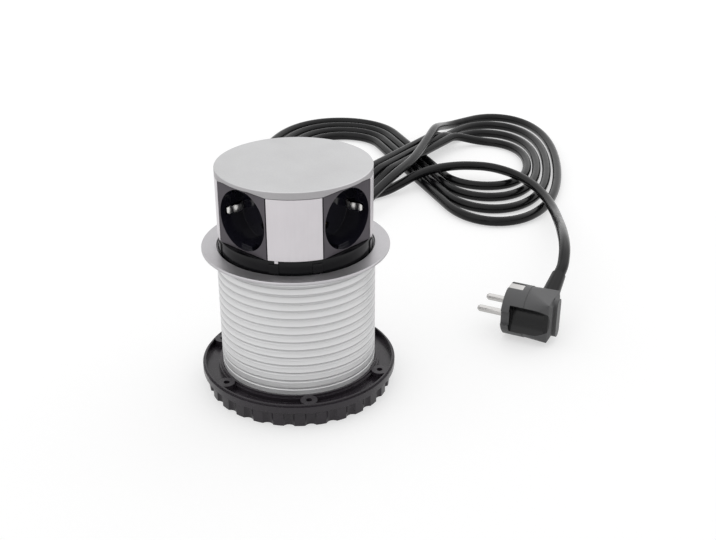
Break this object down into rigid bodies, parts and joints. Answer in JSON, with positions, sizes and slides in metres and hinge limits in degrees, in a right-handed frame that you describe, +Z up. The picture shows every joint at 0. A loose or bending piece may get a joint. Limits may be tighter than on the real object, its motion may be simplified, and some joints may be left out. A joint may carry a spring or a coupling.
{
  "type": "pop-up desk socket",
  "caption": "Round pop-up desk socket tower: sprung head with earthed sockets round its side, ribbed tube, desk flange, clamp ring, coiled mains cord and angled plug.",
  "frame": {"origin": "on the axis of the tube, at the floor the part stands on", "axes": "+Z up along the travel of the head; the socket faces look along +X, +Y, -X and -Y"},
  "size_m": [0.4612, 0.5962, 0.1489],
  "materials": {
    "tube_alloy": "satin anodised, fine turned ribs",
    "flange_silver": "satin",
    "cap_silver": "fine satin",
    "trim_silver": "satin, slightly lilac",
    "black_gloss": "gloss black",
    "black_matte": "fine matte black",
    "ring_black": "satin black moulding",
    "steel": "bright zinc",
    "insulator": "natural insulating plastic",
    "brass": "pressed and plain",
    "cores": "coloured insulation",
    "cord_pvc": "soft satin black sheath",
    "plug_black": "moulded satin black",
    "nickel": "nickel plated"
  },
  "bodies": {
    "housing": {"ribbed_tube": "tube_alloy", "trim_flange": "flange_silver", "base_cup": "black_matte", "base_screws": "steel", "cord_gland": "black_matte", "push_latch": "black_matte", "lift_spring": "steel", "inner_lead": "cord_pvc", "cord_lead": "cord_pvc", "cord_loops": "cord_pvc", "cord_tail": "cord_pvc", "plug_body": "plug_black", "plug_pins": "nickel", "plug_earth_strips": "nickel", "plug_strain_relief": "cord_pvc"},
    "head": {"head_base": "black_gloss", "top_cap": "cap_silver", "head_screws": "steel", "trim_front": "trim_silver", "trim_right": "trim_silver", "trim_back": "trim_silver", "trim_left": "trim_silver", "socket_front": "black_matte", "socket_right": "black_matte", "socket_back": "black_matte", "socket_left": "black_matte", "clip_front": "steel", "clip_right": "steel", "clip_back": "steel", "clip_left": "steel", "contact_post": "insulator", "neutral_bar": "brass", "earth_bar": "brass", "live_bar": "brass", "core_wires": "cores", "latch_striker": "black_matte"},
    "clamp": {"clamp_ring": "ring_black"}
  },
  "joints": [
    {"name": "head_slide", "type": "slide", "parent": "housing", "child": "head", "axis": [0, 0, 1], "range_m": [-0.0515, 0], "stiffness_N_per_m": 120, "springref_m": 0.06, "deforming": ["lift_spring", "inner_lead"]},
    {"name": "clamp_slide", "type": "slide", "parent": "housing", "child": "clamp", "axis": [0, 0, 1], "range_m": [0, 0.07]}
  ]
}
